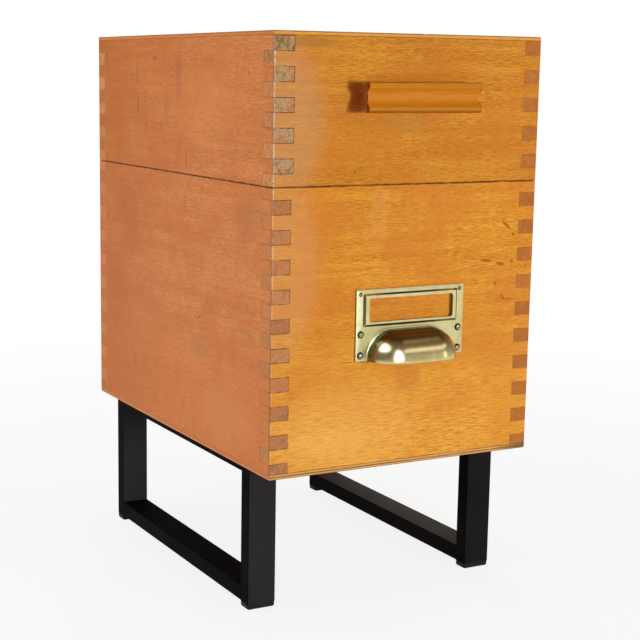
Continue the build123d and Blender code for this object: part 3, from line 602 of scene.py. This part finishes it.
def makeHandle():
    r = Recipe("handle_varnish")
    x, y, z = (part / mm for part in r.split(r.place))
    sway = r.noise(r.join(x / 60, y / 18, z / 18), 1, 2) - 0.5
    streaks = r.noise(r.join(x / 14, (y + sway * 5) / 1.1, (z + sway * 5) / 1.1), 1, 3, 0.6)
    bands = r.noise(r.join(x / 90, y / 4, z / 4), 1, 2)
    colour = r.mix(streaks.ramp(0.25, 0.75) * 0.6 + bands * 0.4, handleTones["dark"], handleTones["light"])

    # painted light and shade of the cove: pale along the middle, a painted highlight on the crests of the
    # lips, painted shade between them, on the underside, at the lips' edges and near the ends
    middle = (handleLow.z + handleHigh.z) / 2 / mm
    tall = (handleHigh.z - handleLow.z) / 2 / mm
    out = abs(z - middle + sway * handleBands["swayBy"])
    colour = r.mix((1 - out.ramp(*handleBands["litMiddle"])) * 0.4, colour, handleTones["litMiddle"])
    hollow = 1 - abs(out - handleBands["coveAt"]).ramp(*handleBands["cove"])
    colour = r.mix(hollow * 0.7, colour, handleTones["cove"])
    crestHighlight = 1 - abs(out - tall + handleBands["crestIn"]).ramp(*handleBands["crestHighlight"])
    colour = r.mix(crestHighlight * (0.2 + streaks * 0.6), colour, handleTones["crestHighlight"])
    under = (middle - z).ramp(*(tall - step for step in handleBands["under"])) * 0.7
    lip = out.ramp(*(tall - step for step in handleBands["lip"])) * 0.7
    colour = r.mix(under.most(lip), colour, handleTones["lip"])
    half = (handleHigh.x - handleLow.x) / 2 / mm
    toEnd = half - abs(x - (handleHigh.x + handleLow.x) / 2 / mm)
    colour = r.mix((1 - toEnd.ramp(*handleBands["ends"])) * 0.85, colour, handleTones["lip"])
    ending = abs(r.split(r.facing)[0]).ramp(0.5, 0.9)
    pores = r.noise(r.join(x / 1.2, y / 1.2, z / 1.2), 1, 3)
    proud = frontY / mm - y
    endColour = r.mix(proud.ramp(*handleBands["proud"]), handleTones["end"], handleTones["endEdge"])
    colour = r.mix(ending * (0.6 + pores * 0.4), colour, endColour)
    return r.finish(colour, 0.34 + streaks * 0.08, r.bump(streaks, 0.08 * mm), shine=0.1)


dress("lid_handle", makeHandle())
print("handle varnished")

# brass: the plate is pale and dull, the cup is rubbed bright at its lip
brassTones = {
    "plate": (228, 218, 160),
    "plateDark": (200, 186, 126),
    "cup": (224, 206, 152),
    "cupDark": (196, 176, 118),
    # the next three tones: a painted dark reflection at the cup's top, a darker foot next to the plate, a
    # painted golden reflection
    "cupTopReflection": (92, 80, 42),
    "cupFoot": (120, 116, 92),
    "cupGoldReflection": (208, 160, 84),
    # painted shade on the slopes of the pressed frame
    "slopeShadeTone": (80, 72, 44),
    "hinge": (200, 172, 112),
    "tarnish": (110, 88, 44),
    "screw": (188, 174, 134),
    "pin": (150, 132, 98),
    # painted shade round the rims of the screw and pin heads
    "screwRimShade": (58, 48, 30),
}
cupMarksAndReflections = {  # in millimetres up from the cup's foot and out from the plate
    "pits": (7, 14),
    "goldReflection": (11, 15),
    "goldOut": (2, 6),
    "footOut": (9, 16),
    "brownReflection": (16, 22),
    "out": (0.8, 2.2),
    "cloudOut": 3,
    "cloudUp": 4,
}


def makeBrass(name, light, dark, rough, seed, tarnishShare, foot=None, slopeShade=0.0):
    r = Recipe(name)
    x, y, z = (part / mm for part in r.split(r.place))
    cloud = r.noise(r.join(x / 12 + seed, y / 12, z / 12), 1, 3, 0.6)
    fine = r.noise(r.join(x / 1.0 + seed, y / 1.0, z / 1.0), 1, 3, 0.6)
    colour = r.mix(cloud.ramp(0.3, 0.7) * 0.6 + fine * 0.4, dark, light)
    stain = (cloud * 0.5 + fine * 0.5).ramp(0.56, 0.68)
    if foot is not None:  # a pull: pitted by fingers low down, with a painted golden reflection across its middle, darker and greyer next to the plate, and a painted dark brown reflection at its top
        up = z - foot
        proud = plateFaceMm - y
        clear = proud.ramp(*cupMarksAndReflections["out"])
        stain = stain * (1 - up.ramp(*cupMarksAndReflections["pits"]))
        goldReflection = up.ramp(*cupMarksAndReflections["goldReflection"]) * proud.ramp(*cupMarksAndReflections["goldOut"])
        colour = r.mix(goldReflection * 0.7, colour, brassTones["cupGoldReflection"])
        near = (1 - (proud + cloud * cupMarksAndReflections["cloudOut"]).ramp(*cupMarksAndReflections["footOut"])) * clear
        colour = r.mix(near * 0.9, colour, brassTones["cupFoot"])
        brownReflection = (up + cloud * cupMarksAndReflections["cloudUp"]).ramp(*cupMarksAndReflections["brownReflection"]) * clear
        colour = r.mix(brownReflection * 0.9, colour, brassTones["cupTopReflection"])
    colour = r.mix(stain * tarnishShare, colour, brassTones["tarnish"])
    if slopeShade:  # painted shade: the slopes of the pressed frame are darkened by the way they face
        slope = (1 - abs(r.split(r.facing)[1])).ramp(0.05, 0.2)
        colour = r.mix(slope * slopeShade, colour, brassTones["slopeShadeTone"])
    return r.finish(colour, rough + fine * 0.05 + stain * 0.1, r.bump(fine, 0.02 * mm), 1.0)


def makeScrew(name, tone):  # domed heads: painted light and shade, bright where they face forward and dark round the rim
    r = Recipe(name)
    x, y, z = (part / mm for part in r.split(r.place))
    fine = r.noise(r.join(x / 0.8, y / 0.8, z / 0.8), 1, 2)
    litCrown = abs(r.split(r.facing)[1]).ramp(0.66, 0.93)
    colour = r.mix(litCrown * (0.7 + fine * 0.3), brassTones["screwRimShade"], brassTones[tone])
    return r.finish(colour, 0.30 + fine * 0.1, r.bump(fine, 0.02 * mm), 1.0)


plateBrass = makeBrass(
    "aged_brass", brassTones["plate"], brassTones["plateDark"],
    rough=0.30, seed=1, tarnishShare=0.15, slopeShade=0.95,
)
cupBrass = makeBrass(
    "polished_brass", brassTones["cup"], brassTones["cupDark"],
    rough=0.18, seed=5, tarnishShare=0.4, foot=cupLow.z / mm,
)
hingeBrass = makeBrass(
    "hinge_brass", brassTones["hinge"], brassTones["cupDark"],
    rough=0.30, seed=9, tarnishShare=0.3,
)
dress("pull_screws", makeScrew("screw_heads", "screw"))
dress("pull_corner_pins", makeScrew("pin_heads", "pin"))
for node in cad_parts:
    if "hinge" in node and "pin" not in node:
        dress(node, hingeBrass)
print("brass aged")


# modelling helpers: each but pick, which opens edit mode, leaves the piece in object mode
def pickOnly(piece):
    bpy.ops.object.select_all(action="DESELECT")
    piece.select_set(True)
    bpy.context.view_layer.objects.active = piece


def settle(piece):  # its place, turn and size go into its mesh
    pickOnly(piece)
    bpy.ops.object.transform_apply(location=True, rotation=True, scale=True)


def pick(piece, kind, test):  # open the piece for editing with the fitting edges or faces picked
    pickOnly(piece)
    bpy.ops.object.mode_set(mode="EDIT")
    bpy.ops.mesh.select_mode(type=kind)
    bpy.ops.mesh.select_all(action="DESELECT")
    bpy.ops.object.mode_set(mode="OBJECT")
    parts = piece.data.edges if kind == "EDGE" else piece.data.polygons
    for part in parts:
        part.select = test(part, [piece.data.vertices[i].co / mm for i in part.vertices])
    bpy.ops.object.mode_set(mode="EDIT")


def close():
    bpy.ops.object.mode_set(mode="OBJECT")


def modify(piece, kind, settings):
    modifier = piece.modifiers.new(kind.lower(), kind)
    for key, value in settings.items():
        setattr(modifier, key, value)
    pickOnly(piece)
    bpy.ops.object.modifier_apply(modifier=modifier.name)


def soften(piece, wide, angle):  # round the sharp edges
    limit = {"limit_method": "ANGLE", "angle_limit": math.radians(angle)}
    modify(piece, "BEVEL", {"width": wide * mm, "segments": 3, **limit})


def thicken(piece, sheet):  # give a skin its sheet's thickness, inwards
    modify(piece, "SOLIDIFY", {"thickness": sheet * mm, "offset": -1, "use_even_offset": True})


def complete(piece, name, stuff, body, smoothAngle):
    pickOnly(piece)
    bpy.ops.object.shade_smooth_by_angle(angle=math.radians(smoothAngle))
    piece.name = name
    piece.data.materials.clear()
    piece.data.materials.append(stuff)
    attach(piece, body)


# card frame plate: one brass sheet with the frame pressed out of it and a slot left for the card
plate = {
    "rise": 1.8,
    "frameWide": 93.8,
    "frameTop": 3.5,
    "frameBottom": 31.3,
    "slope": 2.1,
    "slot": 1.3,
    "slotWide": 50,
    "slotSlack": 0.1,
    "slotReach": 2,
    "windowWide": 83.0,
    "windowTop": 7.45,
    "windowBottom": 27.35,
    "rounds": (0.6, 0.9, 1.0, 2.0),
    "roundSteps": 4,
    "near": 0.7,
    "bend": 0.22,
    "bendAngle": 20,
    "smoothAngle": 35,
    "level": 0.99,
}


def addOutline(middle, wide, low, high, y, corner):  # a rectangle of edges with round corners
    place = (middle * mm, y * mm, (low + high) / 2 * mm)
    bpy.ops.object.select_all(action="DESELECT")
    bpy.ops.mesh.primitive_plane_add(size=mm, location=place, rotation=(math.pi / 2, 0, 0))
    outline = bpy.context.object
    bpy.ops.object.mode_set(mode="EDIT")
    bpy.ops.transform.resize(value=(wide, 1, high - low), center_override=place)
    bpy.ops.mesh.select_mode(type="VERT")
    bpy.ops.mesh.bevel(
        offset=corner * mm, segments=plate["roundSteps"], affect="VERTICES", clamp_overlap=False,
    )
    bpy.ops.mesh.select_all(action="SELECT")
    bpy.ops.mesh.delete(type="ONLY_FACE")
    close()
    settle(outline)
    return outline


def onOutline(points, middle, wide, low, high, y):
    across = [abs(p.x - middle) - wide / 2 for p in points]
    up = [abs(p.z - (low + high) / 2) - (high - low) / 2 for p in points]
    near = [abs(max(a, b)) < plate["near"] for a, b in zip(across, up)]
    return all(near) and all(abs(p.y - y) < plate["near"] for p in points)


def addPlate():
    middle = (plateLow.x + plateHigh.x) / 2 / mm
    high = plateHigh.z / mm
    face = plateFaceMm
    raised = face - plate["rise"]
    slope = plate["slope"]
    sizes = [
        (plateHigh.x / mm - plateLow.x / mm, plateLow.z / mm, high, face),
        (plate["frameWide"], high - plate["frameBottom"], high - plate["frameTop"], face),
        (
            plate["frameWide"] - 2 * slope,
            high - plate["frameBottom"] + slope,
            high - plate["frameTop"] - plate["slot"],
            raised,
        ),
        (plate["windowWide"], high - plate["windowBottom"], high - plate["windowTop"], raised),
    ]
    rings = [addOutline(middle, *size, corner) for size, corner in zip(sizes, plate["rounds"])]
    pickOnly(rings[0])
    for ring in rings:
        ring.select_set(True)
    bpy.ops.object.join()
    piece = bpy.context.object
    for outer in (2, 0, 1):  # the flat rings first, then the slope that joins them
        pair = sizes[outer:outer + 2]
        pick(piece, "EDGE", lambda edge, points: any(onOutline(points, middle, *size) for size in pair))
        bpy.ops.mesh.bridge_edge_loops()
        close()
    pick(piece, "FACE", lambda side, points: side.normal.y > 0)
    bpy.ops.mesh.flip_normals()
    close()
    slotLow = sizes[2][2] - plate["slotSlack"]

    def onSlot(side, points):
        wide = abs(points[0].x - points[2].x) > plate["slotWide"]
        inside = all(slotLow < p.z < slotLow + plate["slotReach"] for p in points)
        return wide and inside and abs(side.normal.y) < plate["level"]

    pick(piece, "FACE", onSlot)
    bpy.ops.mesh.delete(type="FACE")
    close()
    thicken(piece, sheetMm)
    soften(piece, plate["bend"], plate["bendAngle"])
    complete(piece, "pressedPlate", plateBrass, "box", plate["smoothAngle"])
    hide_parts("card_frame_plate")


addPlate()
print("plate pressed")

# cup: a quarter of a bar with ball ends, in sheet brass, with a thin bead against the plate
cup = {
    "radius": 25.6,
    "sheet": 1.1,
    "beadWide": 1.3,
    "beadRise": 0.6,
    "cuts": 23,
    "edge": 0.3,
    "edgeAngle": 40,
    "smoothAngle": 40,
    "level": 0.9,
    "touch": 0.01,
    "weld": 0.01,
}


def addCup():
    middle = (cupLow.x + cupHigh.x) / 2 / mm
    face = plateFaceMm
    low = cupLow.z / mm
    radius = cup["radius"]
    touch = cup["touch"]
    spread = (cupHigh.x - cupLow.x) / 2 / mm - cup["beadWide"] - radius
    place = Vector((middle, face, low))
    bpy.ops.object.select_all(action="DESELECT")
    bpy.ops.mesh.primitive_cube_add(size=2 * radius * mm, location=place * mm)
    piece = bpy.context.object
    bpy.ops.object.mode_set(mode="EDIT")
    bpy.ops.mesh.subdivide(number_cuts=cup["cuts"])
    bpy.ops.transform.tosphere(value=1)
    close()
    ball = piece.data.vertices[0].co.length / mm
    bpy.ops.object.mode_set(mode="EDIT")
    bpy.ops.mesh.select_all(action="SELECT")
    bpy.ops.transform.resize(value=(radius / ball,) * 3, center_override=place * mm)
    bpy.ops.mesh.bisect(plane_co=place * mm, plane_no=(0, 1, 0), clear_outer=True)
    bpy.ops.mesh.select_all(action="SELECT")
    bpy.ops.mesh.bisect(plane_co=place * mm, plane_no=(0, 0, 1), clear_inner=True)
    close()
    settle(piece)
    pick(piece, "FACE", lambda side, points: all(p.x > middle - touch for p in points))
    bpy.ops.mesh.split()
    bpy.ops.transform.translate(value=(spread * mm, 0, 0))
    close()
    pick(piece, "FACE", lambda side, points: all(p.x < middle + touch for p in points))
    bpy.ops.transform.translate(value=(-spread * mm, 0, 0))
    close()
    pick(piece, "EDGE", lambda edge, points: all(abs(abs(p.x - middle) - spread) < touch for p in points))
    bpy.ops.mesh.bridge_edge_loops()
    bpy.ops.mesh.select_all(action="SELECT")
    bpy.ops.mesh.remove_doubles(threshold=cup["weld"] * mm)
    bpy.ops.mesh.normals_make_consistent(inside=False)
    close()
    thicken(piece, cup["sheet"])
    bpy.ops.object.mode_set(mode="EDIT")
    bpy.ops.mesh.select_all(action="SELECT")
    beadPlace = (middle * mm, (face - cup["beadRise"]) * mm, low * mm)
    bpy.ops.mesh.bisect(plane_co=beadPlace, plane_no=(0, 1, 0))
    close()
    inner = radius - cup["sheet"] / 2

    def onBead(side, points):
        across = [max(abs(p.x - middle) - spread, 0) for p in points]
        far = min(math.hypot(a, p.z - low, p.y - face) for a, p in zip(across, points))
        flat = abs(side.normal.y) > cup["level"] or side.normal.z < -cup["level"]
        return far > inner and min(p.y for p in points) > face - cup["beadRise"] - touch and not flat

    pick(piece, "FACE", onBead)
    bpy.ops.mesh.extrude_region_shrink_fatten(TRANSFORM_OT_shrink_fatten={"value": cup["beadWide"] * mm})
    close()
    soften(piece, cup["edge"], cup["edgeAngle"])
    complete(piece, "brassCup", cupBrass, "box", cup["smoothAngle"])
    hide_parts("cup_pull")


addCup()
print("cup pressed")

# steel: zinc fasteners, satin black tube and plastic caps
steelTones = {
    "zinc": (176, 176, 172),
    "zincDark": (120, 120, 118),
    "black": (11, 9, 9),
    "blackWorn": (18, 15, 15),
    # the next tone is painted light on the legs' faces towards front and back
    "blackLitFacing": (45, 44, 47),
    "blackTop": (90, 85, 83),
    "plastic": (16, 16, 17),
    "plasticDust": (34, 34, 35),
}
steelGrain = {  # how fine each pattern is, per metre
    "spangle": 900,
    "peel": 700,
    "cloud": 26,
    "grit": 1500,
    "dust": 60,
}


def makeZinc():
    r = Recipe("zinc_steel")
    cloud = r.noise(r.place, steelGrain["spangle"], 3)
    colour = r.mix(cloud, steelTones["zincDark"], steelTones["zinc"])
    return r.finish(colour, 0.30 + cloud * 0.2, metallic=1.0)


def makeBlack():
    r = Recipe("satin_black")
    peel = r.noise(r.place, steelGrain["peel"], 2)
    cloud = r.noise(r.place, steelGrain["cloud"], 3)
    onRight = r.split(r.place)[0] > 0
    faces = r.split(r.facing)
    colour = r.mix(cloud.ramp(0.35, 0.7), steelTones["black"], steelTones["blackWorn"])
    litFacing = abs(faces[1]).ramp(0.6, 0.95) * (0.75 + cloud * 0.3)
    litFacing = litFacing * (1 - onRight * 0.6)  # painted light: faces towards front and back are lighter than the sides, less so on the right leg; the top of the right leg's rail is lighter
    colour = r.mix(litFacing, colour, steelTones["blackLitFacing"])
    upward = faces[2].ramp(0.6, 0.95) * onRight
    colour = r.mix(upward * (0.6 + cloud * 0.4), colour, steelTones["blackTop"])
    return r.finish(colour, 0.40 + cloud * 0.12, r.bump(peel, 0.05 * mm), shine=0.005)


def makePlastic():
    r = Recipe("black_plastic")
    grit = r.noise(r.place, steelGrain["grit"], 2)
    dust = r.noise(r.place, steelGrain["dust"], 3)
    colour = r.mix(dust.ramp(0.4, 0.75) * 0.6, steelTones["plastic"], steelTones["plasticDust"])
    return r.finish(colour, 0.55 + grit * 0.1, r.bump(grit, 0.06 * mm), shine=0.15)


zinc = makeZinc()
satinBlack = makeBlack()
blackPlastic = makePlastic()
zincEndings = ("panel_pins", "handle_screws", "hinge_pin", "leg_screws")
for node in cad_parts:
    if node.endswith("_foot"):
        dress(node, blackPlastic)
    elif "_leg_" in node and not node.endswith("screws"):
        dress(node, satinBlack)
    elif node.endswith(zincEndings):
        dress(node, zinc)
print("steel painted")

# studio: a pale floor that fades to white, a white surround and soft lamps
studio = {
    "floorSize": 12.0,
    "floorTone": 0.86,
    "shadowShare": 0.15,
    "fade": (0.35, 1.3),
    "surround": 0.28,
    "mirror": 0.22,
    "white": (255, 255, 255),
    "daylight": (196, 218, 255),
    "coolFrom": (0.3, 2.0),
    "cards": [
        {"at": (-86, 47), "size": (40, 15), "glow": 8.5, "cool": 1},
        {"at": (-5, 12), "size": (17, 26), "glow": 7.5, "cool": 1},
        {"at": (46, 5), "size": (4.5, 12), "glow": 2.6, "cool": 0},
        {"at": (44, 29.5), "size": (26, 6), "glow": 1.3, "cool": 0},
        {"at": (66, 54), "size": (22, 3.4), "glow": 0.65, "cool": 0},
        {"at": (25, -5), "size": (80, 24), "glow": 0.36, "cool": 0},
    ],
    "aim": 0.28,
    "lamps": {
        "keyLamp": {"place": (2.6, -3.9, 0.44), "size": 0.75, "power": 160},
        "sideLamp": {"place": (-2.6, 0.2, 0.6), "size": 0.9, "power": 34},
        "topLamp": {"place": (0.1, 0.0, 2.4), "size": 1.5, "power": 12},
        "backLamp": {"place": (0.9, 3.2, 0.7), "size": 1.6, "power": 60},
    },
}


def addFloor():
    bpy.ops.object.select_all(action="DESELECT")
    bpy.ops.mesh.primitive_plane_add(size=studio["floorSize"], location=(0, 0, 0))
    floor = bpy.context.object
    floor.name = "floor"
    r = Recipe("pale_floor")
    x, y, z = r.split(r.place)
    away = (x * x + y * y).maths("SQRT").ramp(*studio["fade"])
    path = r.node("ShaderNodeLightPath", give="Is Camera Ray")
    direct = path.most(path.output("Is Glossy Ray")).most(path.output("Is Transmission Ray"))
    tone = studio["floorTone"]
    matt = r.node("ShaderNodeBsdfDiffuse", None, {"Color": (tone, tone, tone, 1)})
    white = r.node("ShaderNodeEmission", None, {"Color": (1, 1, 1, 1), "Strength": 1.0})
    share = direct * (1 - (1 - away) * studio["shadowShare"])
    blend = r.node("ShaderNodeMixShader", None, {0: share, 1: matt, 2: white})
    r.node("ShaderNodeOutputMaterial", None, {"Surface": blend})
    floor.data.materials.append(r.owner)


def addSurround():  # white to the camera, a grey room with soft windows in reflections
    world = bpy.data.worlds.new("surround")
    bpy.context.scene.world = world
    r = Recipe("surround", world)
    path = r.node("ShaderNodeLightPath", give="Is Camera Ray")
    seen = path.most(path.output("Is Transmission Ray"))
    mirrored = path.output("Is Glossy Ray")
    right, back, high = r.split(r.place.output("Generated"))
    azimuth = right.maths("ARCTAN2", 0 - back).maths("DEGREES")
    height = high.maths("ARCSINE").maths("DEGREES")
    room = windows = studio["mirror"]
    for card in studio["cards"]:
        light = spot(azimuth, height, card["at"], card["size"]) * card["glow"]
        room = room + light
        windows = windows + light * card["cool"]
    colour = r.mix(windows.ramp(*studio["coolFrom"]) * mirrored, studio["white"], studio["daylight"])
    strength = seen + mirrored * room + (1 - seen.most(mirrored)) * studio["surround"]
    sky = r.node("ShaderNodeBackground", None, {"Color": colour, "Strength": strength})
    r.node("ShaderNodeOutputWorld", None, {"Surface": sky})


def addLamps():  # none of them shows in a reflection
    target = Vector((0, middleY, studio["aim"]))
    for name, lamp in studio["lamps"].items():
        turn = (target - Vector(lamp["place"])).to_track_quat("-Z", "Y")
        bpy.ops.object.light_add(type="AREA", location=lamp["place"], rotation=turn.to_euler())
        light = bpy.context.object
        light.name = name
        light.data.shape = "DISK"
        light.data.size = lamp["size"]
        light.data.energy = lamp["power"]
        light.visible_glossy = False


addFloor()
addSurround()
addLamps()
bpy.context.scene.view_settings.view_transform = "Standard"
print("studio lit")
